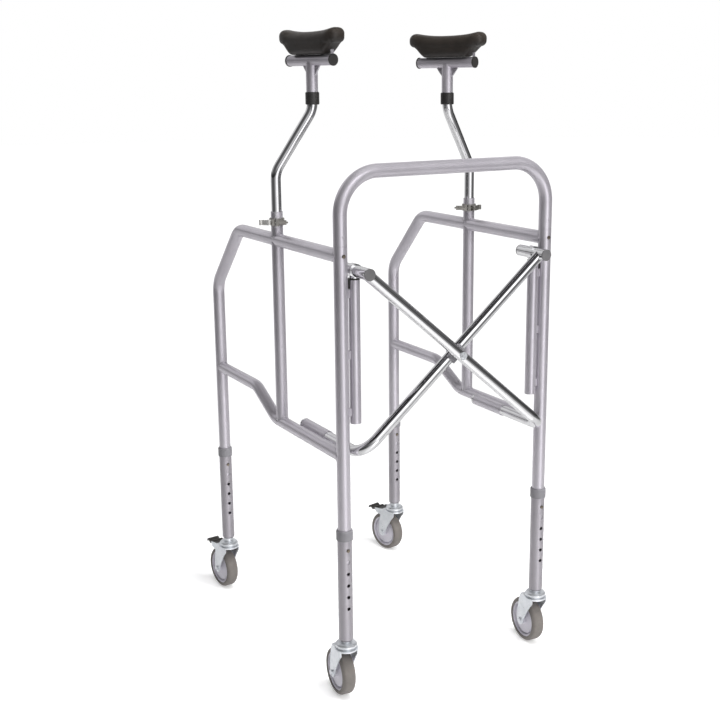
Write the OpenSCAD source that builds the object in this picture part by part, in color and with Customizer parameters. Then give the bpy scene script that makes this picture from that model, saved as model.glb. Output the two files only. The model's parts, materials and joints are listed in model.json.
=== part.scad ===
// Folding walking frame with underarm supports, on four swivel casters.
// +Z is up, the user faces -Y, and the origin is on the floor, midway between the four legs.

/* [Side frames] */
// Distance between the two side frames, tube centre to tube centre
frame_w = 535; // [520:5:560]
// Distance from the front uprights to the rear legs, tube centre to tube centre
frame_d = 690; // [680:5:710]
// Outside diameter of the uprights, the bow and the bent rear tubes
tube_d = 30; // [29.5:0.5:30]
// Height of the straight top rail's axis
top_rail_z = 1025; // [1020:5:1030]
// Depth of the top rail's corner behind the front uprights
top_corner_y = 536; // [530:2:540]
// Height of the corner where the sloping tube turns into the rear leg
leg_corner_z = 869; // [861:4:873]
// Height of the lower rail's front stretch
low_rail_z = 584; // [580:1:588]
// Height of the lower rail's rear stretch
low_rail_rear_z = 641; // [635:2:645]

/* [Bow] */
// Height of the bow's cross bar
bow_z = 1200; // [1185:5:1215]
// Bend radius of the bow's corners
bow_bend = 90; // [80:5:95]
// Height of the seam between the bow and the uprights
seam_z = 1047; // [1045:1:1049]

/* [Legs] */
// Outside diameter of the lower leg tubes, which slide over the uprights
leg_d = 33; // [33:0.5:34]
// Height of the pressed-in snap button of each leg
button_z = 369; // [365:1:371]
// Distance from one adjustment hole to the next
hole_pitch = 28; // [27:0.5:28]
// Number of adjustment holes in each leg tube
hole_count = 6; // [4:1:6]

/* [Casters] */
// Wheel diameter
wheel_d = 110; // [106:1:110]
// Tyre width
tyre_w = 32; // [29:1:32]
// Distance of the wheel's axle behind the swivel axis
trail = 33; // [28:1:34]
// Rest angles of the casters: left front, right front, left rear, right rear
caster_turn = [-4, -3, 7, 13];

/* [Cross brace] */
// Diameter of the brace tubes
brace_d = 25; // [24.5:0.5:25]
// Distance of the guide tubes and the pivots inside the side frames
guide_off = 32; // [32:0.5:33]
// Height of the brace's lower pivots
pivot_z = 589; // [587:1:591]
// Height of the crosspieces at the top of the brace
cross_z = 993; // [992:1:994]

/* [Underarm supports] */
// Depth of the posts behind the front uprights
post_y = 312; // [305:1:318]
// Diameter of the cranked posts
post_d = 24; // [23.5:0.5:24]
// Sideways reach of the crank
crank = 90; // [80:2:92]
// Height of the support tubes' axes
head_z = 1425; // [1420:1:1430]
// Length of an underarm pad
pad_len = 208; // [190:2:212]
// Width of an underarm pad
pad_w = 46; // [40:1:50]

/* [Hidden] */
SIDES = ["left", "right"];
ENDS = ["front", "rear"];
$fn = 72;

// Shared fits and thicknesses
fit = 0.05;          // running clearance between round surfaces
wall = 1.2;          // wall of the steel tubes
lap = 0.5;           // how far a straight tube runs into its neighbouring bend
swell = 0.02;        // extra radius of straight tubes, which keeps each joint with a bend clean
cut = 1;             // how far a cutter runs past the surface that it opens

// Tube radii
tube_r = tube_d / 2;
leg_r = leg_d / 2;
rail_r = 14;
guide_r = 12.5;
guide_bore = 11;
brace_r = brace_d / 2;
cross_r = 13;
post_r = post_d / 2;
socket_r = 14;
head_r = 12.25;
slide_ring_r = 15.4;

// Places of the side frames
side_x = frame_w / 2;
front_y = -frame_d / 2;
rear_y = frame_d / 2;
rail_bend = 65;
inner_end_z = 327;   // lower end of the uprights, inside the leg tubes

// Places of the brace: a runs from the left top to the right bottom, in front of b
brace_a_y = front_y - 55;
brace_b_y = front_y - 27;
guide_x = side_x - guide_off;
brace_span = 2 * guide_x;
brace_rise = cross_z - pivot_z;
brace_len = sqrt(brace_span * brace_span + brace_rise * brace_rise);
brace_slope = atan(brace_rise / brace_span);
brace_bend = 48;
tail_len = 281;      // from the plane of a brace tube to the rear end of its tail
cross_len = 95;

// Places of the posts and heads
post_yy = front_y + post_y;
socket_top_z = 1091;
clamp_z = 1068;
crank_low_z = 1177;
crank_high_z = 1316;
crank_dir = [-14, -18];   // how far each crank is turned forwards from pointing straight inwards
head_turn = [10.5, 22];   // turn of each support tube about the vertical
post_raise = [4, -3];     // height at which each post is set, from the heights below
clamp_dir = [-33, -40];   // direction of each clamp's slot, from straight ahead

// ---------- shared shapes ----------

// Mirrors a right-hand piece to the left side
module on_side(s) {
    if (s < 0) mirror([1, 0, 0]) children();
    else children();
}

// Bend in the local YZ plane, starting along +Z and turning towards +Y
module bend(radius, angle, r)
    translate([0, radius, 0])
        rotate([90, 0, -90])
            rotate_extrude(angle = angle) translate([radius, 0]) circle(r = r);

module past_bend(radius, angle)
    translate([0, radius, 0]) rotate([-angle, 0, 0]) translate([0, -radius, 0]) children();

// Solid bent rod along +Z; steps holds a length and the bend angle after it, and extra lengthens both ends
module rod(steps, radius, r, extra = 0, i = 0) {
    low = i == 0 ? extra : lap;
    high = i == len(steps) - 1 ? extra : lap;
    turn = steps[i][1];
    flip = turn < 0 ? 180 : 0;
    translate([0, 0, -low]) cylinder(r = r + swell, h = steps[i][0] + low + high);
    if (i < len(steps) - 1)
        translate([0, 0, steps[i][0]])
            rotate([0, 0, flip]) {
                bend(radius, abs(turn), r);
                past_bend(radius, abs(turn)) rotate([0, 0, flip]) rod(steps, radius, r, extra, i + 1);
            }
}

module pipe(steps, radius, r, thick = wall) {
    difference() {
        rod(steps, radius, r);
        rod(steps, radius, r - thick, cut);
    }
}

// Cylinder along +Y
module bar_y(r, h) rotate([-90, 0, 0]) cylinder(r = r, h = h);

// Cylinder along +X
module bar_x(r, h) rotate([0, 90, 0]) cylinder(r = r, h = h);

// Ring with a small chamfer on both outer edges
module ring(r, bore, h, edge = 0.8)
    rotate_extrude()
        polygon([[bore, 0], [r - edge, 0], [r, edge], [r, h - edge], [r - edge, h], [bore, h]]);

// ---------- side frame ----------

slope_run = frame_d - top_corner_y;
slope_drop = top_rail_z - leg_corner_z;
slope_angle = atan(slope_drop / slope_run);
leg_angle = 90 - slope_angle;
slope_len = sqrt(slope_run * slope_run + slope_drop * slope_drop);
rear_steps = [
    [top_corner_y - rail_bend * tan(slope_angle / 2), slope_angle],
    [slope_len - rail_bend * (tan(slope_angle / 2) + tan(leg_angle / 2)), leg_angle],
    [leg_corner_z - inner_end_z - rail_bend * tan(leg_angle / 2), 0]];

// Solid form of the top rail and rear leg
module rear_form(r, extra = 0)
    translate([side_x, front_y, top_rail_z]) rotate([-90, 0, 0]) rod(rear_steps, rail_bend, r, extra);

low_corner_y = 345;
high_corner_y = 456;
low_run = high_corner_y - low_corner_y;
low_rise = low_rail_rear_z - low_rail_z;
low_angle = atan(low_rise / low_run);
low_len = sqrt(low_run * low_run + low_rise * low_rise);
low_tangent = rail_bend * tan(low_angle / 2);
low_steps = [
    [low_corner_y - low_tangent, -low_angle],
    [low_len - 2 * low_tangent, low_angle],
    [frame_d - high_corner_y - low_tangent, 0]];

// Solid form of the lower rail
module low_form(r, extra = 0)
    translate([side_x, front_y, low_rail_z]) rotate([-90, 0, 0]) rod(low_steps, rail_bend, r, extra);

snap_hole_r = 4.1;

// Hole in the front face of an upright tube
module snap_hole(y, z, r = snap_hole_r)
    translate([side_x, y - tube_r - cut, z]) bar_y(r, tube_r);

guide_low_z = 657;
guide_top_z = 974;
tab_heights = [683, 811, 945];

// Front upright with its guide tube, joined by three welded tabs
module front_upright(s)
    color("silver") on_side(s) {
        difference() {
            union() {
                translate([side_x, front_y, inner_end_z]) cylinder(r = tube_r, h = seam_z - inner_end_z);
                translate([guide_x, front_y, guide_low_z]) cylinder(r = guide_r, h = guide_top_z - guide_low_z);
                for (z = tab_heights)
                    translate([guide_x + guide_bore + 0.5, front_y - 4, z - 9])
                        cube([guide_off - guide_bore - tube_r + 1, 8, 18]);
            }
            translate([side_x, front_y, inner_end_z - cut])
                cylinder(r = tube_r - wall, h = seam_z - inner_end_z + 2 * cut);
            translate([guide_x, front_y, guide_low_z - cut])
                cylinder(r = guide_bore, h = guide_top_z - guide_low_z + 2 * cut);
            snap_hole(front_y, button_z);
            snap_hole(front_y, bow_button_z);
        }
    }

// Top rail, slope and rear leg, bent from one tube
module rear_tube(s)
    color("silver") on_side(s)
        difference() {
            rear_form(tube_r);
            rear_form(tube_r - wall, cut);
            translate([side_x, front_y, top_rail_z - 2 * tube_r]) cylinder(r = tube_r + fit, h = 4 * tube_r);
            translate([side_x, post_yy, top_rail_z - 2 * tube_r]) cylinder(r = socket_r + fit, h = 4 * tube_r);
            snap_hole(rear_y, button_z);
        }

sleeve_len = 113;
sleeve_bore = brace_r + swell + fit;
sleeve_r = 14;
sleeve_from = 159;   // from the plane of the brace tube that turns in the sleeve

// Lower rail with the sleeve in which a brace tail turns
module lower_rail(s)
    color("silver") {
        tail_y = s < 0 ? brace_b_y : brace_a_y;
        sleeve_y = tail_y + sleeve_from;
        on_side(s)
            difference() {
                union() {
                    low_form(rail_r);
                    translate([guide_x, sleeve_y, pivot_z]) bar_y(sleeve_r, sleeve_len);
                    translate([guide_x + 13, sleeve_y + 6, pivot_z - 6]) cube([8, sleeve_len - 12, 7]);
                }
                low_form(rail_r - wall, cut);
                translate([guide_x, sleeve_y - cut, pivot_z]) bar_y(sleeve_bore, sleeve_len + 2 * cut);
                for (y = [front_y, rear_y])
                    translate([side_x, y, low_rail_z - 60]) cylinder(r = tube_r + fit, h = 180);
            }
    }

// Upright guide for the support post, through the top rail and down to the lower rail
module post_guide(s)
    color("silver") on_side(s)
        difference() {
            translate([side_x, post_yy, low_rail_z]) cylinder(r = socket_r, h = socket_top_z - low_rail_z);
            translate([side_x, post_yy, low_rail_z - cut])
                cylinder(r = post_r + fit, h = socket_top_z - low_rail_z + 2 * cut);
            low_form(rail_r + fit);
            rotate_slot(s) translate([-1.5, -socket_r - cut, clamp_z - 14]) cube([3, socket_r, 60]);
        }

// Turns about the post's axis to the direction of the clamp's slot
module rotate_slot(s)
    translate([side_x, post_yy, 0])
        rotate([0, 0, clamp_turn(s)]) children();

function clamp_turn(s) = s < 0 ? -clamp_dir[0] : clamp_dir[1];

bush_r = 13;
bush_top_z = cross_z - slide_ring_r - 0.3;
lug_low_z = 956;

// Plastic bush on the guide tube's mouth, with a lug that fills the gap to the upright
module guide_bush(s)
    color("#2b2a2a") on_side(s)
        difference() {
            union() {
                translate([guide_x, front_y, guide_top_z + fit])
                    cylinder(r = bush_r, h = bush_top_z - guide_top_z - fit);
                translate([guide_x + guide_r + fit, front_y - 5, lug_low_z])
                    cube([guide_off - guide_r - fit, 10, bush_top_z - lug_low_z]);
            }
            translate([guide_x, front_y, guide_top_z - cut]) cylinder(r = guide_bore, h = 30);
            translate([side_x, front_y, lug_low_z - cut]) cylinder(r = tube_r + fit, h = 40);
        }

// ---------- bow ----------

bow_button_z = 1027;
rivet_z = 1068;
bow_foot_z = seam_z + 1;
bow_steps = [
    [bow_z - bow_foot_z - bow_bend, 90],
    [frame_w - 2 * bow_bend, 90],
    [bow_z - bow_foot_z - bow_bend, 0]];

// Inverted U that joins the two side frames at the front
module bow()
    color("silver")
        difference() {
            translate([-side_x, front_y, bow_foot_z]) rotate([0, 0, -90]) pipe(bow_steps, bow_bend, tube_r);
            for (x = [-side_x, side_x])
                translate([x, front_y - 2 * tube_r, rivet_z]) bar_y(3 + fit, 2 * tube_r);
        }

spigot_low_z = 1015;
spigot_r = tube_r - wall - fit;
spigot_top_z = 1083;

// The two spigots inside the bow's feet, each held by a rivet through the bow's front wall
module bow_spigots()
    color("silver")
        for (x = [-side_x, side_x])
            translate([x, front_y, 0]) {
                difference() {
                    translate([0, 0, spigot_low_z]) cylinder(r = spigot_r, h = spigot_top_z - spigot_low_z);
                    translate([0, 0, spigot_low_z - cut])
                        cylinder(r = spigot_r - wall, h = spigot_top_z - spigot_low_z + 2 * cut);
                    translate([0, -tube_r - cut, bow_button_z]) bar_y(snap_hole_r, tube_r);
                }
                translate([0, -tube_r - 0.6, rivet_z]) bar_y(3, 3);
            }

snap_pin_r = snap_hole_r - 0.1;
spring_half = 6.5;   // half the width of the hairpin spring behind a snap button
spring_leaf = 0.8;

// Snap button that points to the front: a domed pin on a disc, held out by a hairpin spring
module snap_button(y, z, reach, hang)
    translate([side_x, y, z]) {
        dome = 1.2;
        disc = 1.5;
        translate([0, -reach + dome, 0]) bar_y(snap_pin_r, reach - spring_half - dome - disc);
        translate([0, -reach, 0]) rotate([-90, 0, 0]) cylinder(r1 = snap_pin_r - dome, r2 = snap_pin_r, h = dome);
        translate([0, -spring_half - disc, 0]) bar_y(snap_pin_r + 1.5, disc);
        translate([-3, 0, 0])
            rotate([90, 0, 90])
                linear_extrude(6) {
                    for (v = [-spring_half, spring_half - spring_leaf])
                        translate([v, hang < 0 ? hang : -4]) square([spring_leaf, abs(hang) + 4]);
                    intersection() {
                        translate([0, hang]) difference() {
                            circle(r = spring_half);
                            circle(r = spring_half - spring_leaf);
                        }
                        translate([-spring_half, hang < 0 ? hang - spring_half : hang])
                            square([2 * spring_half, spring_half]);
                    }
                }
    }

module bow_button(s)
    color("gainsboro") on_side(s) snap_button(front_y, bow_button_z, tube_r + 3, 24);

// ---------- legs ----------

leg_top_z = 405;
collar_low_z = 391;
collar_top_z = 415;
plug_top_z = 181;
king_r = 6;

function end_y(e) = e < 0 ? front_y : rear_y;
function leg_low(e) = e < 0 ? 147 : 153;   // the front tubes sit deeper on their casters

// Lower leg tube with its row of holes, tapered foot and the plug that holds the caster's stem
module leg_tube(s, e)
    color("silver") on_side(s)
        translate([side_x, end_y(e), 0])
            difference() {
                low = leg_low(e);
                taper = 4;
                union() {
                    translate([0, 0, low]) cylinder(r1 = leg_r - 2.5, r2 = leg_r, h = taper);
                    translate([0, 0, low + taper]) cylinder(r = leg_r, h = leg_top_z - low - taper);
                }
                translate([0, 0, plug_top_z]) cylinder(r = tube_r + fit, h = leg_top_z);
                translate([0, 0, low - cut]) cylinder(r = king_r + fit, h = plug_top_z);
                for (i = [0 : hole_count - 1])
                    translate([0, -leg_r - cut, button_z - i * hole_pitch]) bar_y(snap_hole_r, leg_r);
            }

// Plastic collar on the mouth of the leg tube
module leg_collar(s, e)
    color("#8d8a91") on_side(s)
        translate([side_x, end_y(e), collar_low_z])
            rotate_extrude()
                polygon([[leg_r + swell, 0], [leg_r + 1.6, 0], [leg_r + 2.2, 1.2],
                         [leg_r + 2.2, collar_top_z - collar_low_z - 3],
                         [leg_r + 0.6, collar_top_z - collar_low_z],
                         [tube_r + fit, collar_top_z - collar_low_z],
                         [tube_r + fit, leg_top_z - collar_low_z + fit],
                         [leg_r + swell, leg_top_z - collar_low_z + fit]]);

module leg_button(s, e)
    color("gainsboro") on_side(s) snap_button(end_y(e), button_z, leg_r + 2.5, -28);

// ---------- casters ----------

axle_z = wheel_d / 2;
axle_r = 4;
fork_gap = tyre_w / 2 + 3.5;
fork_thick = 2.5;
crown_z = 125;
crown_thick = 4;
crown_r = 27;
cup_r = 25;
cup_top_z = 142;     // top of the bearing cup
eye_r = 12.5;        // rounded end of the fork's sides

function corner(s, e) = (e < 0 ? 0 : 2) + (s < 0 ? 0 : 1);

// Places a caster's pieces under a leg at the caster's rest angle
module under_leg(s, e)
    translate([s * side_x, end_y(e), 0]) rotate([0, 0, caster_turn[corner(s, e)]]) children();

// Outline of a fork side: Y runs towards the wheel's axle, Z up
module fork_outline(braked) {
    polygon([[-17, crown_z + crown_thick], [-17, crown_z - 10], [-7, crown_z - 22], [8, axle_z + 24],
             [trail - eye_r, axle_z], [trail + eye_r, axle_z], [trail + eye_r - 1, axle_z + 24],
             [trail + 5, crown_z - 10], [trail - 2, crown_z + crown_thick]]);
    translate([trail, axle_z]) circle(r = eye_r);
    if (braked)
        polygon([[trail - 12, crown_z + crown_thick], [trail + 30, crown_z - 1], [trail + 26, crown_z - 12],
                 [trail - 6, crown_z - 20]]);
}

// Zinc-plated fork with its bearing cup, stem and axle
module caster_fork(s, e)
    color("#d5d8da") under_leg(s, e) {
        braked = e > 0;
        for (x = [-fork_gap - fork_thick, fork_gap])
            translate([x, 0, 0])
                rotate([90, 0, 90]) linear_extrude(fork_thick) fork_outline(braked);
        translate([0, 0, crown_z])
            linear_extrude(crown_thick) {
                circle(r = crown_r);
                translate([-fork_gap - fork_thick, -17]) square([2 * (fork_gap + fork_thick), trail + 15]);
            }
        translate([0, 0, crown_z + 2]) cylinder(r = cup_r - 3, h = 6);
        translate([0, 0, crown_z + 7.5])
            rotate_extrude()
                polygon([[0, 0], [cup_r - 1.5, 0], [cup_r, 1.5], [cup_r, cup_top_z - crown_z - 11],
                         [cup_r - 3, cup_top_z - crown_z - 7.5], [0, cup_top_z - crown_z - 7.5]]);
        translate([0, 0, cup_top_z - 1]) cylinder(r = 12.5, h = leg_low(e) - cup_top_z + 1 - fit);
        translate([0, 0, cup_top_z - 1]) cylinder(r = king_r, h = plug_top_z - cup_top_z - 4);
        if (braked) bar_at_pedal_hinge(pedal_pin_r, 2 * (fork_gap + fork_thick) + 1);
        translate([-fork_gap - 1, trail, axle_z]) bar_x(axle_r, 2 * fork_gap + 2);
        for (x = [-fork_gap - fork_thick - 4, fork_gap + fork_thick - 0.5])
            translate([x, trail, axle_z]) bar_x(6, 4.5);
    }

hub_r = 44.5;
hub_w = 2 * (fork_gap - 0.3);

// Moulded wheel centre with a ridge and a groove on each face
module wheel_hub(s, e)
    color("#b9b4c1") under_leg(s, e)
        translate([0, trail, axle_z])
            rotate([0, 90, 0])
                rotate_extrude()
                    polygon(concat(hub_half(1), [for (p = reversed(hub_half(-1))) p]));

// Half of the hub's section: radius, then distance from the middle
function hub_half(side) = [
    [axle_r + fit, side * hub_w / 2], [9, side * hub_w / 2], [11.5, side * 12], [35.8, side * 10.5],
    [36.8, side * 6], [39.2, side * 6], [40.4, side * 12.7], [41.2, side * 13.5], [hub_r, side * 13.5]];

function reversed(list) = [for (i = [len(list) - 1 : -1 : 0]) list[i]];

// Tyre with rounded shoulders
module tyre(s, e)
    color("#6d6a66") under_leg(s, e)
        translate([0, trail, axle_z])
            rotate([0, 90, 0])
                rotate_extrude() {
                    shoulder = 8;
                    half = tyre_w / 2;
                    intersection() {
                        translate([hub_r + swell, -half]) square([axle_z - hub_r - swell, tyre_w]);
                        union() {
                            translate([0, -half]) square([axle_z - shoulder, tyre_w]);
                            translate([0, -half + shoulder]) square([axle_z, tyre_w - 2 * shoulder]);
                            for (v = [-half + shoulder, half - shoulder])
                                translate([axle_z - shoulder, v]) circle(r = shoulder);
                        }
                    }
                }

pedal_hinge_y = trail + 9;
pedal_hinge_z = crown_z - 7;
pedal_pin_r = 2.5;
pedal_half = fork_gap - 0.5;
pedal_w = 31;
pedal_thick = 6;
pedal_drop = 2;      // fall of the tread from its front end to its tip
pedal_tip_y = 98;
pedal_plate_y = trail + 31;

// Upper surface of the pedal's tread: distance behind the stem and height, for t from 0 to 1
function pedal_wave(t) = [pedal_plate_y + (pedal_tip_y - pedal_plate_y) * t,
                          crown_z - 3 - pedal_drop * t + 2.8 * sin(540 * t + 30)];

// Two-lobed brake pedal on the rear casters; pressed down, its shoe comes against the tyre
module brake_pedal(s)
    color("#3a3836") under_leg(s, 1)
        difference() {
            steps = 18;
            top = [for (i = [0 : steps]) pedal_wave(i / steps)];
            low = [for (i = [steps : -1 : 0]) pedal_wave(i / steps) - [0, pedal_thick]];
            union() {
                translate([-pedal_w / 2, 0, 0])
                    rotate([90, 0, 90]) linear_extrude(pedal_w) polygon(concat(top, low));
                translate([-pedal_half, pedal_hinge_y, pedal_hinge_z]) bar_x(5.5, 2 * pedal_half);
                translate([-pedal_half, pedal_hinge_y, pedal_hinge_z - 2])
                    cube([2 * pedal_half, pedal_plate_y - pedal_hinge_y + 4, 6]);
                translate([-10, pedal_hinge_y + 10, axle_z + 44]) cube([20, 12, pedal_hinge_z - axle_z - 42]);
            }
            translate([0, trail, axle_z]) bar_x_centred(axle_z + 4, 60);
            bar_at_pedal_hinge(pedal_pin_r + fit, 60);
        }

module bar_at_pedal_hinge(r, h)
    translate([0, pedal_hinge_y, pedal_hinge_z]) bar_x_centred(r, h);

module bar_x_centred(r, h) translate([-h / 2, 0, 0]) bar_x(r, h);

// ---------- cross brace ----------

tail_steps = [[brace_len - brace_bend, -90], [tail_len - brace_bend, 0]];

// One brace tube: crosspiece at the top, bent tail at the bottom; top_x is -1 when the top is on the left
module brace_tube(top_x, y, cross_from) {
    difference() {
        union() {
            brace_frame(top_x, y) rod(tail_steps, brace_bend, brace_r);
            translate([top_x * guide_x, cross_from, cross_z]) bar_y(cross_r, cross_len);
            translate([-top_x * guide_x, y + tail_len - 8, pivot_z]) bar_y(sleeve_r, 6);
        }
        brace_frame(top_x, y) rod(tail_steps, brace_bend, brace_r - wall, cut);
        translate([top_x * guide_x, cross_from - cut, cross_z]) bar_y(cross_r - 1.6, cross_len + 2 * cut);
        translate([0, y - 2 * brace_r, (pivot_z + cross_z) / 2]) bar_y(pivot_bolt_r + fit, 4 * brace_r);
    }
}

// Turns +Z to run down a brace from its crosspiece, with the tail bending towards +Y
module brace_frame(top_x, y)
    translate([top_x * guide_x, y, cross_z])
        rotate([0, top_x < 0 ? 90 + brace_slope : -90 - brace_slope, 0])
            rotate([0, 0, 180]) children();

pivot_bolt_r = 4;

module brace_a() color("gainsboro") brace_tube(-1, brace_a_y, cross_a_y);
module brace_b() color("gainsboro") brace_tube(1, brace_b_y, cross_b_y);

cross_a_y = brace_a_y - 13;
cross_b_y = brace_b_y - 21;

// Front and rear caps of one crosspiece
module cross_caps(top_x, cross_from) {
    cap = 2.5;
    plug = 10;
    for (end = [[cross_from - cap, cross_from - cap], [cross_from + cross_len, cross_from + cross_len - plug]])
        translate([top_x * guide_x, 0, cross_z]) {
            translate([0, end[0], 0]) bar_y(cross_r, cap);
            translate([0, end[1], 0]) bar_y(cross_r - 1.6 - fit, plug + cap);
        }
}

module brace_a_caps() color("#4b4a4d") cross_caps(-1, cross_a_y);
module brace_b_caps() color("#4b4a4d") cross_caps(1, cross_b_y);

slide_r = guide_bore - fit;
slide_low_z = 705;

// Tube that slides in the guide tube, with a ring in which the crosspiece turns
module slide_tube(s)
    color("gainsboro") on_side(s)
        difference() {
            union() {
                translate([guide_x, front_y, slide_low_z]) cylinder(r = slide_r, h = cross_z - slide_low_z);
                translate([guide_x, front_y - 10, cross_z]) bar_y(slide_ring_r, 20);
            }
            translate([guide_x, front_y, slide_low_z - cut])
                cylinder(r = slide_r - wall, h = cross_z - slide_low_z - slide_ring_r);
            translate([guide_x, front_y - 20, cross_z]) bar_y(cross_r + fit, 40);
        }

mid_z = (pivot_z + cross_z) / 2;

// Bolt through both brace tubes, with a domed head in front and a nut behind
module pivot_bolt()
    color("silver")
        translate([0, 0, mid_z]) {
            head_y = brace_a_y - brace_r - 0.3;
            nut_y = brace_b_y + brace_r + 0.3;
            translate([0, head_y - 1, 0]) bar_y(pivot_bolt_r, nut_y - head_y + 2);
            translate([0, head_y - 1.5, 0]) bar_y(9, 1.5);
            translate([0, head_y - 5, 0]) rotate([-90, 0, 0]) cylinder(r1 = 4, r2 = 7.5, h = 3.5);
            translate([0, nut_y, 0]) bar_y(9, 1.5);
            translate([0, nut_y + 1.5, 0]) rotate([-90, 0, 0]) cylinder(r = 7.5, h = 6, $fn = 6);
        }

// Plastic saddle between the two tubes, hollowed to sit on brace b
module pivot_spacer()
    color("#77747a")
        difference() {
            flat_y = brace_a_y + brace_r + 0.1;
            translate([0, flat_y, mid_z])
                rotate([0, -brace_slope, 0]) translate([-20, 0, -11]) cube([40, 10, 22]);
            brace_frame(1, brace_b_y) cylinder(r = brace_r + swell + fit, h = brace_len);
            translate([0, flat_y - cut, mid_z]) bar_y(pivot_bolt_r + fit, 20);
        }

// ---------- underarm supports ----------

crank_lean = atan(crank / (crank_high_z - crank_low_z));
crank_bend = 60;
crank_tangent = crank_bend * tan(crank_lean / 2);
crank_run = sqrt(crank * crank + (crank_high_z - crank_low_z) * (crank_high_z - crank_low_z));
post_low_z = 795;
post_top_z = 1391;
post_steps = [
    [crank_low_z - post_low_z - crank_tangent, crank_lean],
    [crank_run - 2 * crank_tangent, -crank_lean],
    [post_top_z - crank_high_z - crank_tangent, 0]];

function crank_turn(s) = s < 0 ? crank_dir[0] : crank_dir[1];
function raise(s) = s < 0 ? post_raise[0] : post_raise[1];

// Chrome post, cranked inwards above its guide
module support_post(s)
    color("gainsboro") on_side(s)
        translate([side_x, post_yy, post_low_z + raise(s)])
            rotate([0, 0, 90 - crank_turn(s)]) pipe(post_steps, crank_bend, post_r - swell);

// Moves to the top of a crank and turns with the support tube, whose front end is along -Y
module at_head(s)
    translate([s * (side_x - crank * cos(crank_turn(s))), post_yy + crank * sin(crank_turn(s)), raise(s)])
        rotate([0, 0, s < 0 ? head_turn[0] : head_turn[1]]) children();

neck_low_z = 1355;
neck_r = 13.5;
head_front = 78;
head_back = 82;
strap_w = 8;

// Support tube on a neck, with two gussets and the strap that holds the pad's front end
module support_head(s)
    color("silver") at_head(s)
        difference() {
            union() {
                translate([0, 0, neck_low_z]) cylinder(r = neck_r, h = head_z - neck_low_z - 4);
                translate([0, -head_front, head_z]) bar_y(head_r, head_front + head_back);
                translate([-2, 0, 0]) rotate([90, 0, 90]) linear_extrude(4)
                    polygon([[-33, head_z - 9], [33, head_z - 9], [13, head_z - 34], [-13, head_z - 34]]);
                translate([-strap_w / 2, -head_front + 1, head_z + 9]) cube([strap_w, 2.5, 13.5]);
            }
            translate([0, 0, neck_low_z - cut]) cylinder(r = post_r + fit, h = post_top_z - neck_low_z + cut + 1);
            translate([0, -head_front - cut, head_z]) bar_y(head_r - wall, head_front + cut - 16);
            translate([0, 16, head_z]) bar_y(head_r - wall, head_back);
        }

cap_flange = 2.5;
post_ring_low_z = 1327;
post_ring_fit = 0.5;  // lets the ring pass over the end of the crank's bend

// Black ring under the neck and the caps of the support tube's two ends
module head_caps(s)
    color("#2b2a2a") at_head(s) {
        translate([0, 0, post_ring_low_z]) ring(16, post_r + post_ring_fit, neck_low_z - post_ring_low_z - fit, 1.5);
        translate([0, -head_front - cap_flange, head_z]) bar_y(head_r + 1, cap_flange);
        translate([0, -head_front - cap_flange, head_z]) bar_y(head_r - wall - fit, 12);
        translate([0, head_back, head_z]) bar_y(head_r + 1, cap_flange);
        translate([0, head_back - 12, head_z]) bar_y(head_r - wall - fit, 12 + cap_flange);
    }

pad_low_z = head_z + head_r + fit;
pad_mid_z = head_z + 62;
pad_dish = 7;
pad_lobe_r = 16;
pad_lobe_u = pad_len / 2 - pad_lobe_r;
pad_lobe_z = pad_mid_z + pad_dish - pad_lobe_r;
pad_foot_u = 62;

// Outline of one end of the pad, from the end of its dished top round to the underside
function pad_end(side) = [for (i = [0 : 10]) let (a = 115 - 20 * i)
    [side * (pad_lobe_u + pad_lobe_r * cos(a)), pad_lobe_z + pad_lobe_r * sin(a)]];

// Dished top between the two ends, for t from -1 to 1
function pad_top(t) = [t * (pad_lobe_u + pad_lobe_r * cos(115)),
    pad_mid_z + (pad_lobe_z + pad_lobe_r * sin(115) - pad_mid_z) * t * t];

// Crescent pad: rounded ends joined by a dished top, on a narrower foot
module underarm_pad(s)
    color("#2f2c2a") at_head(s)
        translate([-pad_w / 2, 0, 0])
            rotate([90, 0, 90])
                linear_extrude(pad_w)
                    polygon(concat(
                        [for (i = [-7 : 7]) pad_top(i / 8)], pad_end(1),
                        [[pad_foot_u, pad_low_z], [-pad_foot_u, pad_low_z]], reversed(pad_end(-1))));

// ---------- post clamps ----------

clamp_h = 16;
clamp_ring_r = 17.5;
ear_y = -22;        // distance of the cross bolt from the post's axis
ear_half = 8;
cam_x = 14.6;
cam_r = 6;
cam_h = 12;
eye_h = 5;
hinge_eye_r = 3.4;
cam_pin_r = 2;
lever_turn = [70, 12];   // how far each lever is swung open from lying along the ring
lever_reach = [14, 22];  // length of each lever's flat blade
bolt_reach = [29, 34];   // length of each cross bolt beyond the slot
nut_r = 5.5;

// Moves to the hinge of a clamp's lever
module at_cam(s)
    on_side(s) rotate_slot(s) translate([cam_x, ear_y, clamp_z]) children();

// Clamp ring with two ears, the cross bolt with its barrel nut, and the pin on which the lever swings
module clamp_collar(s)
    color("#8a8884") {
        on_side(s) rotate_slot(s) {
            difference() {
                translate([0, 0, clamp_z - clamp_h / 2]) {
                    cylinder(r = clamp_ring_r, h = clamp_h);
                    translate([-ear_half, ear_y - 7, 0]) cube([2 * ear_half, 20, clamp_h]);
                }
                translate([0, 0, clamp_z - clamp_h]) cylinder(r = socket_r + fit, h = 2 * clamp_h);
                translate([-1.5, -2 * clamp_ring_r, clamp_z - clamp_h]) cube([3, 30, 2 * clamp_h]);
            }
            reach = bolt_reach[s < 0 ? 0 : 1];
            translate([-reach, ear_y, clamp_z]) bar_x(2.2, reach + cam_x);
            translate([4 - reach, ear_y, clamp_z]) bar_x(nut_r, reach - 3.5 - ear_half);
        }
        at_cam(s) {
            translate([0, 0, -eye_h / 2]) cylinder(r = hinge_eye_r, h = eye_h);
            translate([0, 0, -cam_h / 2]) cylinder(r = cam_pin_r, h = cam_h);
        }
    }

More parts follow.
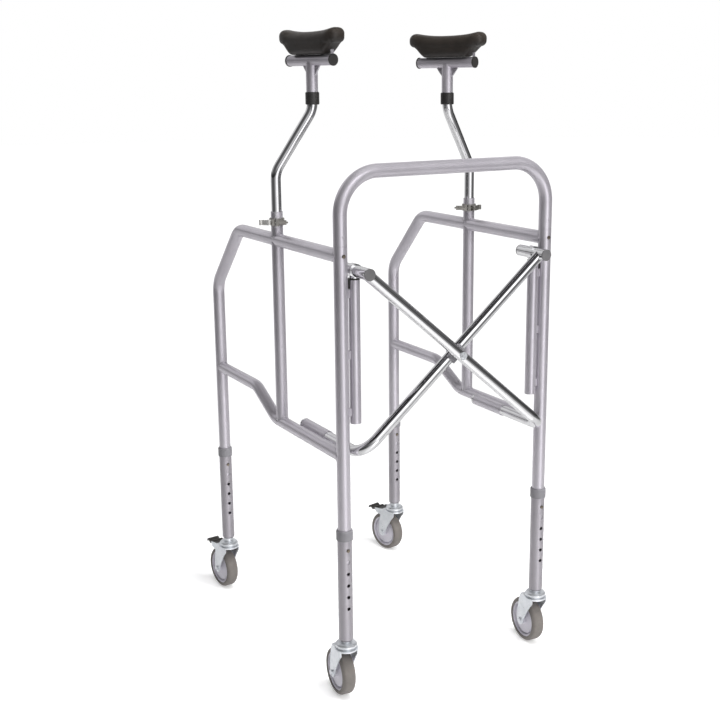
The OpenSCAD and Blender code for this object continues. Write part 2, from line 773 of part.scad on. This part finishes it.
// Cam lever: two cheeks on the pin, a flat blade and a curled tip; it swings about the vertical
module clamp_lever(s)
    color("#a5a39e") at_cam(s)
        rotate([0, 0, -lever_turn[s < 0 ? 0 : 1]])
            difference() {
                reach = lever_reach[s < 0 ? 0 : 1];
                union() {
                    translate([0, 0, -cam_h / 2]) cylinder(r = cam_r, h = cam_h);
                    translate([3.6, 0, -cam_h / 2]) cube([3, reach, cam_h]);
                    translate([3.6 + 7, reach - 0.2, -cam_h / 2])
                        rotate([0, 0, 90])
                            rotate_extrude(angle = 90) translate([4, 0]) square([3, cam_h]);
                }
                translate([0, 0, -cam_h]) cylinder(r = cam_pin_r + fit, h = 2 * cam_h);
                translate([-8, -8, -eye_h / 2 - 0.2]) cube([11.5, 16, eye_h + 0.4]);
            }

// ---------- selection ----------

for (s = [-1, 1]) {
    side = s < 0 ? "left_" : "right_";
    front_upright(s);
    rear_tube(s);
    lower_rail(s);
    post_guide(s);
    guide_bush(s);
    clamp_collar(s);
    clamp_lever(s);
    slide_tube(s);
    support_post(s);
    support_head(s);
    head_caps(s);
    underarm_pad(s);
    bow_button(s);
    brake_pedal(s);
    for (e = [-1, 1]) {
        end = str(side, e < 0 ? "front_" : "rear_");
        leg_tube(s, e);
        leg_collar(s, e);
        leg_button(s, e);
        caster_fork(s, e);
        wheel_hub(s, e);
        tyre(s, e);
    }
}
bow();
bow_spigots();
brace_a();
brace_b();
brace_a_caps();
brace_b_caps();
pivot_bolt();
pivot_spacer();
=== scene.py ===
import json
import math

import bmesh
import bpy
from mathutils import Matrix, Vector, noise


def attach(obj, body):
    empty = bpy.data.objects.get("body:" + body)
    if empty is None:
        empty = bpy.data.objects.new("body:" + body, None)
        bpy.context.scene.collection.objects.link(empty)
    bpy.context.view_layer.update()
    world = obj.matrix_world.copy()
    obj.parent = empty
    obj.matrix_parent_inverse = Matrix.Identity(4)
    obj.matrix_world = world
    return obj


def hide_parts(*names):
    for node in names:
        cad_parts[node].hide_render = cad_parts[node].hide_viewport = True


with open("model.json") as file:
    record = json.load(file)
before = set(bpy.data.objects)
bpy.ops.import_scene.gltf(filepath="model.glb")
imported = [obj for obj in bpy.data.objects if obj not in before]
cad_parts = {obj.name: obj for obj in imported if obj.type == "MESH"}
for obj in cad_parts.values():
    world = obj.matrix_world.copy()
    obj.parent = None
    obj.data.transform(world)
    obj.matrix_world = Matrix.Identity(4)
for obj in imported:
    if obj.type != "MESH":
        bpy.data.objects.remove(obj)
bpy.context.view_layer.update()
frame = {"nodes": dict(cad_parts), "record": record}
nodes = frame["nodes"]
UP, ALONG_Y = (0, 0, 1), (0, 1, 0)

# places of the frame's tubes, in metres
SIDE_X = 0.2675
FRONT_Y, REAR_Y, POST_Y = -0.345, 0.345, -0.033
TOP_RAIL_Z, LOW_RAIL_Z, REAR_RAIL_Z = 1.025, 0.584, 0.641
MAIN_R, THIN_R = 0.015, 0.014


# ---------- materials ----------

def new_material(name):
    m = bpy.data.materials.new(name)
    m.use_nodes = True
    tree = m.node_tree
    tree.nodes.clear()
    out = tree.nodes.new("ShaderNodeOutputMaterial")
    bsdf = tree.nodes.new("ShaderNodeBsdfPrincipled")
    tree.links.new(bsdf.outputs["BSDF"], out.inputs["Surface"])
    coord = tree.nodes.new("ShaderNodeTexCoord")
    return m, tree, bsdf, coord


def noise_node(tree, coord, scale, detail=3.0, rough=0.55, stretch=None):
    n = tree.nodes.new("ShaderNodeTexNoise")
    n.inputs["Scale"].default_value = scale
    n.inputs["Detail"].default_value = detail
    n.inputs["Roughness"].default_value = rough
    source = coord.outputs["Object"]
    if stretch:
        mapping = tree.nodes.new("ShaderNodeMapping")
        mapping.inputs["Scale"].default_value = stretch
        tree.links.new(source, mapping.inputs["Vector"])
        source = mapping.outputs["Vector"]
    tree.links.new(source, n.inputs["Vector"])
    return n.outputs["Fac"]


def cell_node(tree, coord, scale, feature="F1"):
    v = tree.nodes.new("ShaderNodeTexVoronoi")
    v.feature = feature
    v.inputs["Scale"].default_value = scale
    tree.links.new(coord.outputs["Object"], v.inputs["Vector"])
    return v.outputs["Distance"]


def remap(tree, socket, low, high, from_low=0.3, from_high=0.7):
    r = tree.nodes.new("ShaderNodeMapRange")
    r.inputs["From Min"].default_value = from_low
    r.inputs["From Max"].default_value = from_high
    r.inputs["To Min"].default_value = low
    r.inputs["To Max"].default_value = high
    tree.links.new(socket, r.inputs["Value"])
    return r.outputs["Result"]


def mix_colour(tree, factor, a, b):
    """a and b are colours or colour sockets."""
    m = tree.nodes.new("ShaderNodeMix")
    m.data_type = "RGBA"
    tree.links.new(factor, m.inputs["Factor"])
    for value, key in ((a, "A"), (b, "B")):
        socket = [s for s in m.inputs if s.name == key and s.type == "RGBA"][0]
        if isinstance(value, tuple):
            socket.default_value = (*value, 1.0)
        else:
            tree.links.new(value, socket)
    return [s for s in m.outputs if s.type == "RGBA"][0]


def bump_chain(tree, bsdf, layers):
    """layers: (height socket, strength, distance in metres), coarse first."""
    normal = None
    for height, strength, distance in layers:
        b = tree.nodes.new("ShaderNodeBump")
        b.inputs["Strength"].default_value = strength
        b.inputs["Distance"].default_value = distance
        tree.links.new(height, b.inputs["Height"])
        if normal:
            tree.links.new(normal, b.inputs["Normal"])
        normal = b.outputs["Normal"]
    tree.links.new(normal, bsdf.inputs["Normal"])


def clouded(tree, bsdf, pattern, colour, light):
    """A base colour that drifts between two shades with the pattern."""
    base = mix_colour(tree, remap(tree, pattern, 0.0, 1.0), colour, light)
    tree.links.new(base, bsdf.inputs["Base Color"])
    return base


def worn(tree, bsdf, pattern, low, high):
    """A roughness that drifts between two values with the pattern."""
    tree.links.new(remap(tree, pattern, low, high), bsdf.inputs["Roughness"])


def metallic_paint(name, colour, light, metal, rough):
    """Silver paint with fine flake, a slight orange peel and faint handling marks."""
    m, tree, bsdf, coord = new_material(name)
    cloud = noise_node(tree, coord, scale=9.0, detail=4.0)
    flake = noise_node(tree, coord, scale=2600.0, detail=1.0)
    peel = noise_node(tree, coord, scale=420.0, detail=2.0)
    marks = noise_node(tree, coord, scale=38.0)
    base = clouded(tree, bsdf, cloud, colour, light)
    bright = tuple(min(1.0, c * 1.35) for c in light)
    glint = remap(tree, flake, 0.0, 0.35, from_low=0.5, from_high=0.75)
    tree.links.new(mix_colour(tree, glint, base, bright), bsdf.inputs["Base Color"])
    worn(tree, bsdf, marks, rough - 0.03, rough + 0.05)
    bsdf.inputs["Metallic"].default_value = metal
    bsdf.inputs["Coat Weight"].default_value = 0.25
    bsdf.inputs["Coat Roughness"].default_value = 0.18
    bump_chain(tree, bsdf, [(peel, 0.06, 0.0004), (flake, 0.05, 0.0001)])
    return m


def plated(name, colour, dull, rough, spread, bump=0.03, scale=60.0, metal=1.0):
    """Bare or plated metal: colour clouds, varying polish and fine scratches."""
    m, tree, bsdf, coord = new_material(name)
    cloud = noise_node(tree, coord, scale=scale * 0.4, detail=5.0, rough=0.6)
    smear = noise_node(tree, coord, scale=scale, detail=6.0, rough=0.65)
    scratch = noise_node(tree, coord, scale=300.0, detail=4.0, rough=0.7, stretch=(1.0, 1.0, 0.08))
    clouded(tree, bsdf, cloud, colour, dull)
    worn(tree, bsdf, smear, rough, rough + spread)
    bsdf.inputs["Metallic"].default_value = metal
    bump_chain(tree, bsdf, [(scratch, bump, 0.0002)])
    return m


def moulded(name, colour, light, rough=0.5, grain=900.0, bump=0.12, coat=0.0):
    """Moulded plastic: spark-eroded grain, slight flow clouds and worn sheen."""
    m, tree, bsdf, coord = new_material(name)
    cloud = noise_node(tree, coord, scale=26.0, detail=4.0)
    sheen = noise_node(tree, coord, scale=55.0, detail=5.0, rough=0.6)
    pebble = noise_node(tree, coord, scale=grain, detail=2.0)
    clouded(tree, bsdf, cloud, colour, light)
    worn(tree, bsdf, sheen, rough - 0.07, rough + 0.1)
    bsdf.inputs["Coat Weight"].default_value = coat
    bump_chain(tree, bsdf, [(cloud, 0.04, 0.001), (pebble, bump, 0.00025)])
    return m


def rubber(name, colour, light):
    """Grey tyre rubber with fine pits and a dusty bloom."""
    m, tree, bsdf, coord = new_material(name)
    dust = noise_node(tree, coord, scale=70.0, detail=6.0, rough=0.7)
    pits = cell_node(tree, coord, scale=1400.0)
    clouded(tree, bsdf, dust, colour, light)
    worn(tree, bsdf, dust, 0.55, 0.8)
    bump_chain(tree, bsdf, [(dust, 0.08, 0.0006), (pits, 0.12, 0.0002)])
    return m


def vinyl(name, colour, light):
    """Black vinyl with leather grain, soft wear on the high spots and a dull shine."""
    m, tree, bsdf, coord = new_material(name)
    wear = noise_node(tree, coord, scale=34.0, detail=5.0, rough=0.6)
    fine = noise_node(tree, coord, scale=1500.0, detail=2.0)
    cells = cell_node(tree, coord, scale=520.0, feature="DISTANCE_TO_EDGE")
    crack = remap(tree, cells, 0.0, 1.0, from_low=0.0, from_high=0.12)
    base = clouded(tree, bsdf, wear, colour, light)
    # painted shade: the colour darkens to 0.55 of the base colour in the cracks between the grain's cells
    painted_crack_shade = mix_colour(tree, crack, tuple(c * 0.55 for c in colour), base)
    tree.links.new(painted_crack_shade, bsdf.inputs["Base Color"])
    worn(tree, bsdf, wear, 0.38, 0.52)
    bsdf.inputs["Sheen Weight"].default_value = 0.04
    bsdf.inputs["Sheen Roughness"].default_value = 0.4
    bump_chain(tree, bsdf, [(wear, 0.12, 0.002), (crack, 0.25, 0.0003), (fine, 0.1, 0.0001)])
    return m


# one material for each slot of the record
M = {
    "frame_tube": metallic_paint("frame_paint", (0.53, 0.505, 0.55), (0.59, 0.565, 0.61),
                                 metal=0.72, rough=0.31),
    "leg_tube": metallic_paint("leg_paint", (0.375, 0.355, 0.385), (0.42, 0.40, 0.43),
                               metal=0.68, rough=0.36),
    "chrome_tube": plated("chrome", (0.86, 0.86, 0.87), (0.78, 0.78, 0.79),
                          rough=0.035, spread=0.06, bump=0.015),
    "zinc": plated("zinc_plate", (0.88, 0.90, 0.93), (0.74, 0.77, 0.80),
                   rough=0.26, spread=0.16, bump=0.06, scale=140.0, metal=0.78),
    "clamp_metal": plated("cast_clamp", (0.46, 0.44, 0.41), (0.32, 0.31, 0.29),
                          rough=0.34, spread=0.2, bump=0.12, scale=180.0, metal=0.8),
    "black_plastic": moulded("black_plastic", (0.014, 0.013, 0.013), (0.028, 0.027, 0.026), rough=0.36),
    "grey_plastic": moulded("grey_collar", (0.19, 0.185, 0.20), (0.24, 0.235, 0.25), rough=0.45),
    "hub_plastic": moulded("hub_plastic", (0.56, 0.54, 0.60), (0.64, 0.62, 0.68), rough=0.42, coat=0.2),
    "tyre": rubber("tyre_rubber", (0.15, 0.136, 0.126), (0.195, 0.178, 0.165)),
    "pedal": moulded("pedal_plastic", (0.035, 0.033, 0.031), (0.06, 0.057, 0.054),
                     rough=0.42, grain=600.0, bump=0.2),
    "pad": vinyl("pad_vinyl", (0.018, 0.0145, 0.012), (0.030, 0.0245, 0.0205)),
}
# nodes whose names end so differ from their slot's usual finish; the two clamp levers share one finish, as
# a painted lit copy (left) and a painted shaded copy (right)
cap_grey = moulded("brace_cap_grey", (0.085, 0.083, 0.085), (0.12, 0.117, 0.12), rough=0.5)
SPECIAL = {
    "brace_a_caps": cap_grey,
    "brace_b_caps": cap_grey,
    "_button": plated("button_bronze", (0.36, 0.31, 0.25), (0.26, 0.22, 0.18),
                      rough=0.3, spread=0.2, bump=0.06, scale=160.0),
    # painted light: the left and right levers are the same part, the left painted lighter and the right
    # darker for how light falls on each
    "left_clamp_lever": plated("lever_painted_lit", (0.80, 0.79, 0.76), (0.66, 0.65, 0.62),
                               rough=0.32, spread=0.2, bump=0.1, scale=180.0, metal=0.7),
    "right_clamp_lever": plated("lever_painted_shade", (0.30, 0.29, 0.27), (0.20, 0.19, 0.18),
                                rough=0.34, spread=0.2, bump=0.1, scale=180.0, metal=0.8),
}
# widths of the softened edges, in metres, by the end of the node's name
BEVELS = {"caster_fork": 0.0007, "clamp_collar": 0.0009, "clamp_lever": 0.0005,
          "brake_pedal": 0.0014, "support_head": 0.0005}
BEVEL_ANGLE = math.radians(40)
slot_of = {s["node"]: s["material_slot"] for s in frame["record"]["subparts"]}


def paint(obj, material):
    obj.data.materials.clear()
    obj.data.materials.append(material)


for name, obj in nodes.items():
    paint(obj, M[slot_of[name]])
    for suffix, special in SPECIAL.items():
        if name.endswith(suffix):
            paint(obj, special)
    for suffix, width in BEVELS.items():
        if name.endswith(suffix):
            bevel = obj.modifiers.new("edge", "BEVEL")
            bevel.width = width
            bevel.segments = 2
            bevel.limit_method = "ANGLE"
            bevel.angle_limit = BEVEL_ANGLE
            bevel.harden_normals = False


def add_piece(name, bm, body, slot_name):
    """A smooth new piece that rides on a body and takes the finish of a slot."""
    mesh = bpy.data.meshes.new(name)
    bmesh.ops.recalc_face_normals(bm, faces=bm.faces)
    bm.to_mesh(mesh)
    bm.free()
    for p in mesh.polygons:
        p.use_smooth = True
    obj = bpy.data.objects.new(name, mesh)
    bpy.context.scene.collection.objects.link(obj)
    paint(obj, M[slot_name])
    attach(obj, body)
    return obj


# ---------- weld beads ----------

BEAD_STEPS, BEAD_SIDES, BEAD_R = 72, 8, 0.0017
BEAD_LIFT = 0.0001          # how far the bead's path stands off the larger tube
RIPPLE, RIPPLE_TURN = 0.16, 2.1
UNEVEN, UNEVEN_SCALE = 0.12, 160


def bead_path(p, a, r, q, b, big):
    """Where a tube (point p, direction a, radius r) meets a larger tube (point q, axis b, radius big)."""
    p, q, a, b = Vector(p), Vector(q), Vector(a).normalized(), Vector(b).normalized()
    e1 = a.orthogonal().normalized()
    e2 = a.cross(e1)
    path = []
    for i in range(BEAD_STEPS):
        t = 2 * math.pi * i / BEAD_STEPS
        s = p + r * (math.cos(t) * e1 + math.sin(t) * e2)
        # the distance k along a where s + k a is as far from the big tube's axis as its radius
        w = s - q
        w = w - w.dot(b) * b
        u = a - a.dot(b) * b
        aa, bb, cc = u.dot(u), w.dot(u), w.dot(w) - big * big
        disc = max(0.0, bb * bb - aa * cc)
        k = (-bb - math.sqrt(disc)) / aa
        path.append(s + k * a)
    return path


def add_bead(name, path, body):
    """A rippled weld bead that follows a closed path."""
    bm = bmesh.new()
    rings = []
    n = len(path)
    for i, point in enumerate(path):
        along = (path[(i + 1) % n] - path[i - 1]).normalized()
        e1 = along.orthogonal().normalized()
        e2 = along.cross(e1)
        uneven = UNEVEN * noise.noise(point * UNEVEN_SCALE)
        radius = BEAD_R * (1 + RIPPLE * math.sin(i * RIPPLE_TURN) + uneven)
        rings.append([bm.verts.new(point + radius * (math.cos(t) * e1 + math.sin(t) * e2))
                      for t in (2 * math.pi * k / BEAD_SIDES for k in range(BEAD_SIDES))])
    for i in range(n):
        one, two = rings[i], rings[(i + 1) % n]
        # the ring frames can turn against each other, so the nearest start is looked for
        shift = min(range(BEAD_SIDES), key=lambda s: (two[s].co - one[0].co).length)
        for k in range(BEAD_SIDES):
            bm.faces.new((one[k], one[(k + 1) % BEAD_SIDES],
                          two[(k + 1 + shift) % BEAD_SIDES], two[(k + shift) % BEAD_SIDES]))
    add_piece(name, bm, body, "frame_tube")


for side, sign in (("left", -1), ("right", 1)):
    sx = SIDE_X * sign
    front, rear, down = (0, -1, 0), (0, 1, 0), (0, 0, -1)
    # start and direction of the tube that ends, its radius, then a point, axis and radius of the other
    welds = {
        "top_front": ((sx, -0.2, TOP_RAIL_Z), front, MAIN_R, (sx, FRONT_Y, 0), UP, MAIN_R),
        "low_front": ((sx, -0.2, LOW_RAIL_Z), front, THIN_R, (sx, FRONT_Y, 0), UP, MAIN_R),
        "low_rear": ((sx, 0.2, REAR_RAIL_Z), rear, THIN_R, (sx, REAR_Y, 0), UP, MAIN_R),
        "guide_foot": ((sx, POST_Y, 0.8), down, THIN_R, (sx, 0, LOW_RAIL_Z), ALONG_Y, THIN_R),
        "guide_below": ((sx, POST_Y, 0.9), UP, THIN_R, (sx, 0, TOP_RAIL_Z), ALONG_Y, MAIN_R),
        "guide_above": ((sx, POST_Y, 1.15), down, THIN_R, (sx, 0, TOP_RAIL_Z), ALONG_Y, MAIN_R),
    }
    for key, (p, a, r, q, b, big) in welds.items():
        add_bead(f"{side}_weld_{key}", bead_path(p, a, r, q, b, big + BEAD_LIFT), side + "_frame")


# ---------- underarm pads ----------

PAD_LEN, PAD_HALF = 0.212, 0.0245
# heights above the axis of the support tube
LOBE_R, LOBE_Z, MID_Z, FOOT_Z, GROOVE_Z = 0.0165, 0.0527, 0.0622, 0.0124, 0.0350
FOOT_IN, FOOT_OUT = 0.060, 0.0885       # where the underside starts to rise, and where it ends
STATIONS, AROUND = 120, 72
TOP_POWER, LOW_POWER = 2 / 2.7, 2 / 3.6     # roundness of the roll and of the foot below it
DISH_POWER = 2.4
END_SHARP, END_POWER = 7, 0.36
GROOVE_HALF, GROOVE_DEPTH, FOOT_FADE, FOOT_PULL = 0.0030, 0.10, 0.006, 0.07
GROOVE_END, GROOVE_FADE = 0.088, 0.012
CREASE_SCALE, CREASE_DEPTH = (26, 12, 40), 0.0009
FINE_SCALE, FINE_DEPTH, FINE_SHIFT = (90, 60, 110), 0.00025, 5
FLAT_BAND = 0.002                           # the lowest part stays flat on the support
CRANK_REACH = 0.09                          # sideways reach of the posts' cranks


def smooth_step(t):
    t = max(0.0, min(1.0, t))
    return t * t * (3 - 2 * t)


def pad_profile(u):
    """Top and underside heights of the pad at distance u from its middle."""
    lobe_u = PAD_LEN / 2 - LOBE_R
    d = abs(u)
    if d > lobe_u:
        drop = math.sqrt(max(0.0, LOBE_R ** 2 - (d - lobe_u) ** 2))
        return LOBE_Z + drop, LOBE_Z - drop
    top = MID_Z + (LOBE_Z + LOBE_R - MID_Z) * (d / lobe_u) ** DISH_POWER
    k = max(0.0, min(1.0, (d - FOOT_IN) / (FOOT_OUT - FOOT_IN)))
    low = FOOT_Z + (LOBE_Z - LOBE_R - FOOT_Z) * (0.75 * k + 0.25 * smooth_step(k))
    return top, low


def pad_width(u, z):
    """Half width: full at the roll, with a groove round below it and a narrower foot under the groove."""
    end = max(0.0, 1 - (abs(u) / (PAD_LEN / 2)) ** END_SHARP) ** END_POWER
    groove = math.exp(-((z - GROOVE_Z) / GROOVE_HALF) ** 2)
    foot = smooth_step((GROOVE_Z - z) / FOOT_FADE)
    inner = smooth_step((GROOVE_END - abs(u)) / GROOVE_FADE)
    return PAD_HALF * end * (1 - inner * (GROOVE_DEPTH * groove + FOOT_PULL * foot))


def pad_creases(p):
    """Height of the soft creases and the fine unevenness of the cover at a point."""
    crease = noise.noise(Vector([c * k for c, k in zip(p, CREASE_SCALE)])) * CREASE_DEPTH
    x, y, z = (c * k for c, k in zip(p, FINE_SCALE))
    return crease + noise.noise(Vector((x + FINE_SHIFT, y, z))) * FINE_DEPTH


def add_pad(side, pos, yaw):
    bm = bmesh.new()
    rings = []
    half = PAD_LEN / 2
    for i in range(1, STATIONS):
        u = -half * math.cos(math.pi * i / STATIONS)
        top, low = pad_profile(u)
        mid, tall = (top + low) / 2, (top - low) / 2
        ring = []
        for j in range(AROUND):
            t = 2 * math.pi * j / AROUND
            c, s = math.cos(t), math.sin(t)
            power = TOP_POWER if s > 0 else LOW_POWER
            x = math.copysign(abs(c) ** power, c)
            z = mid + tall * math.copysign(abs(s) ** power, s)
            p = Vector((x * pad_width(u, z), u, z))
            if z > FOOT_Z + FLAT_BAND:
                p += Vector((x, 0, s)).normalized() * pad_creases(p)
            ring.append(bm.verts.new(p))
        rings.append(ring)
    for one, two in zip(rings, rings[1:]):
        for j in range(AROUND):
            bm.faces.new((one[j], one[(j + 1) % AROUND], two[(j + 1) % AROUND], two[j]))
    for ring, u in ((rings[0], -half), (rings[-1], half)):
        tip = bm.verts.new((0, u, LOBE_Z))
        for j in range(AROUND):
            bm.faces.new((ring[j], ring[(j + 1) % AROUND], tip))
    bm.transform(Matrix.Translation(pos) @ Matrix.Rotation(yaw, 4, "Z"))
    obj = add_piece(side + "_pad_cover", bm, side + "_head", "pad")
    sub = obj.modifiers.new("fine", "SUBSURF")
    sub.levels = sub.render_levels = 1
    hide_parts(side + "_underarm_pad")


# side, its sign along x, crank angle and pad angle in degrees, height of the support tube's axis
for side, sign, crank, yaw, head_z in (("left", -1, -14, 10.5, 1.429), ("right", 1, -18, 22, 1.422)):
    a = math.radians(crank)
    pos = Vector((sign * (SIDE_X - CRANK_REACH * math.cos(a)), POST_Y + CRANK_REACH * math.sin(a), head_z))
    add_pad(side, pos, math.radians(yaw))


# ---------- floor ----------

FLOOR_R, FLOOR_DROP = 24.0, 0.0005
FADE_FROM, FADE_TO = 0.9, 3.2       # distances over which the board fades into the backdrop
NEAR_GLOW = 0.36
NEAR_CLEAR = 0.55                   # how far the near floor is hidden from the metal

bm = bmesh.new()
bmesh.ops.create_circle(bm, cap_ends=True, segments=96, radius=FLOOR_R)
floor_mesh = bpy.data.meshes.new("floor")
bm.to_mesh(floor_mesh)
bm.free()
floor = bpy.data.objects.new("floor", floor_mesh)
floor.location = (0, 0, -FLOOR_DROP)
bpy.context.scene.collection.objects.link(floor)
m, tree, bsdf, coord = new_material("floor_white")
paint(floor, m)


def math_node(tree, operation, a, b, clamp=False):
    """a and b are sockets or numbers."""
    n = tree.nodes.new("ShaderNodeMath")
    n.operation = operation
    n.use_clamp = clamp
    for i, value in enumerate((a, b)):
        if isinstance(value, float):
            n.inputs[i].default_value = value
        else:
            tree.links.new(value, n.inputs[i])
    return n.outputs[0]


# white board near the object, which fades into the white backdrop
reach = tree.nodes.new("ShaderNodeVectorMath")
reach.operation = "LENGTH"
tree.links.new(coord.outputs["Object"], reach.inputs[0])
far = remap(tree, reach.outputs["Value"], 0.0, 1.0, from_low=FADE_FROM, from_high=FADE_TO)
tree.links.new(mix_colour(tree, far, (0.90, 0.90, 0.90), (0.0, 0.0, 0.0)), bsdf.inputs["Base Color"])
bsdf.inputs["Roughness"].default_value = 0.16
bsdf.inputs["Specular IOR Level"].default_value = 0.35
bsdf.inputs["Emission Color"].default_value = (1, 1, 1, 1)
glow = remap(tree, far, NEAR_GLOW, 1.0, from_low=0.0, from_high=1.0)
tree.links.new(glow, bsdf.inputs["Emission Strength"])
# the metal sees past the far floor to the studio's dark and bright walls; the camera never does
seen = tree.nodes.new("ShaderNodeLightPath").outputs
near_clear = math_node(tree, "MULTIPLY", seen["Is Glossy Ray"], NEAR_CLEAR)
largest = math_node(tree, "MAXIMUM", far, near_clear)
hidden = math_node(tree, "SUBTRACT", largest, seen["Is Camera Ray"], clamp=True)
clear = tree.nodes.new("ShaderNodeBsdfTransparent")
either = tree.nodes.new("ShaderNodeMixShader")
tree.links.new(hidden, either.inputs["Fac"])
tree.links.new(bsdf.outputs["BSDF"], either.inputs[1])
tree.links.new(clear.outputs[0], either.inputs[2])
floor_out = [n for n in tree.nodes if n.type == "OUTPUT_MATERIAL"][0]
tree.links.new(either.outputs[0], floor_out.inputs["Surface"])


# ---------- camera ----------

CAMERA_AT, CAMERA_LENS, CLIP_END = (-1.4008, -2.4910, 1.3921), 58.25, 60
TURN, TILT, ROLL = math.radians(-28.755), math.radians(13.677), math.radians(-0.651)

look = Vector((-math.sin(TURN) * math.cos(TILT), math.cos(TURN) * math.cos(TILT), -math.sin(TILT)))
level = Vector((math.cos(TURN), math.sin(TURN), 0))
above = level.cross(look)
cam_x = level * math.cos(ROLL) + above * math.sin(ROLL)
cam_y = -level * math.sin(ROLL) + above * math.cos(ROLL)
toward = Vector((math.sin(TURN), -math.cos(TURN), 0))     # from the object towards the camera
camera_data = bpy.data.cameras.new("camera")
camera_data.lens = CAMERA_LENS
camera_data.clip_end = CLIP_END
camera = bpy.data.objects.new("camera", camera_data)
bpy.context.scene.collection.objects.link(camera)
camera_turn = Matrix((cam_x, cam_y, -look)).transposed().to_4x4()
camera.matrix_world = Matrix.Translation(CAMERA_AT) @ camera_turn
bpy.context.scene.camera = camera


# ---------- lights ----------

LIGHT_AIM = (0, 0, 0.8)


def area_light(name, bearing, distance, height, size, power):
    """bearing: degrees to the camera's right of the line from the object to the camera."""
    b = math.radians(bearing)
    place = (toward * math.cos(b) + level * math.sin(b)) * distance
    place.z = height
    data = bpy.data.lights.new(name, "AREA")
    data.shape = "RECTANGLE"
    data.size, data.size_y = size
    data.energy = power
    light = bpy.data.objects.new(name, data)
    bpy.context.scene.collection.objects.link(light)
    light.location = place
    light.visible_glossy = False
    light.rotation_euler = (Vector(LIGHT_AIM) - place).to_track_quat("-Z", "Y").to_euler()


area_light("key", bearing=62, distance=2.9, height=2.3, size=(1.2, 2.6), power=78)
area_light("back_left", bearing=-135, distance=3.2, height=1.8, size=(1.4, 2.8), power=16)
area_light("top", bearing=30, distance=0.8, height=3.0, size=(1.6, 1.6), power=86)


# ---------- studio that the metal reflects ----------

# (bearing to the camera's right in degrees, brightness) round the walls
STUDIO = [(-180, 0.70), (-128, 0.80), (-105, 0.40), (-92, 0.12), (-40, 0.10), (-24, 0.22), (-8, 0.62),
          (10, 0.85), (20, 2.0), (40, 1.9), (54, 0.22), (95, 0.14), (125, 0.10), (150, 0.5), (180, 0.70)]
STUDIO_TINT, STUDIO_STRENGTH = (0.99, 0.985, 1.0), 0.93
# (height from -1 straight down to 1 straight up, brightness): the walls are dark near the floor,
# the softboxes hang above them, and the ceiling is dim
HEIGHTS = [(-1.0, 0.5), (-0.5, 0.6), (-0.42, 0.95), (0.0, 0.95), (0.04, 0.22), (0.12, 0.3), (0.22, 1.0),
           (0.58, 1.0), (0.70, 0.14), (1.0, 0.12)]

world = bpy.data.worlds.new("studio")
bpy.context.scene.world = world
world.use_nodes = True
wt = world.node_tree
wt.nodes.clear()
w_out = wt.nodes.new("ShaderNodeOutputWorld")
w_coord = wt.nodes.new("ShaderNodeTexCoord")


def dot_with(vector):
    n = wt.nodes.new("ShaderNodeVectorMath")
    n.operation = "DOT_PRODUCT"
    wt.links.new(w_coord.outputs["Generated"], n.inputs[0])
    n.inputs[1].default_value = vector
    return n.outputs["Value"]


def brightness_ramp(value, low, high, stops, span, tint):
    """Brightness at a socket's value, which runs from low to high as the stops run over their span."""
    part = remap(wt, value, 0.0, 1.0, from_low=low, from_high=high)
    ramp = wt.nodes.new("ShaderNodeValToRGB")
    elements = ramp.color_ramp.elements
    for i, (at, bright) in enumerate(stops):
        place = (at - stops[0][0]) / span
        e = elements[i] if i < 2 else elements.new(place)
        e.position = place
        e.color = (*(bright * t for t in tint), 1)
    wt.links.new(part, ramp.inputs["Fac"])
    return ramp.outputs["Color"]


def background(strength):
    n = wt.nodes.new("ShaderNodeBackground")
    n.inputs["Color"].default_value = (1, 1, 1, 1)
    n.inputs["Strength"].default_value = strength
    return n


angle = math_node(wt, "ARCTAN2", dot_with(level), dot_with(toward))
walls = brightness_ramp(angle, -math.pi, math.pi, STUDIO, 360, STUDIO_TINT)
rise = brightness_ramp(dot_with(UP), -1.0, 1.0, HEIGHTS, 2, (1.0, 1.0, 1.0))
both = wt.nodes.new("ShaderNodeVectorMath")
both.operation = "MULTIPLY"
wt.links.new(walls, both.inputs[0])
wt.links.new(rise, both.inputs[1])
studio = background(STUDIO_STRENGTH)
wt.links.new(both.outputs["Vector"], studio.inputs["Color"])
# the camera itself sees plain white
white = background(1.0)
path = wt.nodes.new("ShaderNodeLightPath")
pick = wt.nodes.new("ShaderNodeMixShader")
wt.links.new(path.outputs["Is Camera Ray"], pick.inputs["Fac"])
wt.links.new(studio.outputs[0], pick.inputs[1])
wt.links.new(white.outputs[0], pick.inputs[2])
wt.links.new(pick.outputs[0], w_out.inputs["Surface"])
bpy.context.scene.view_settings.view_transform = "Standard"
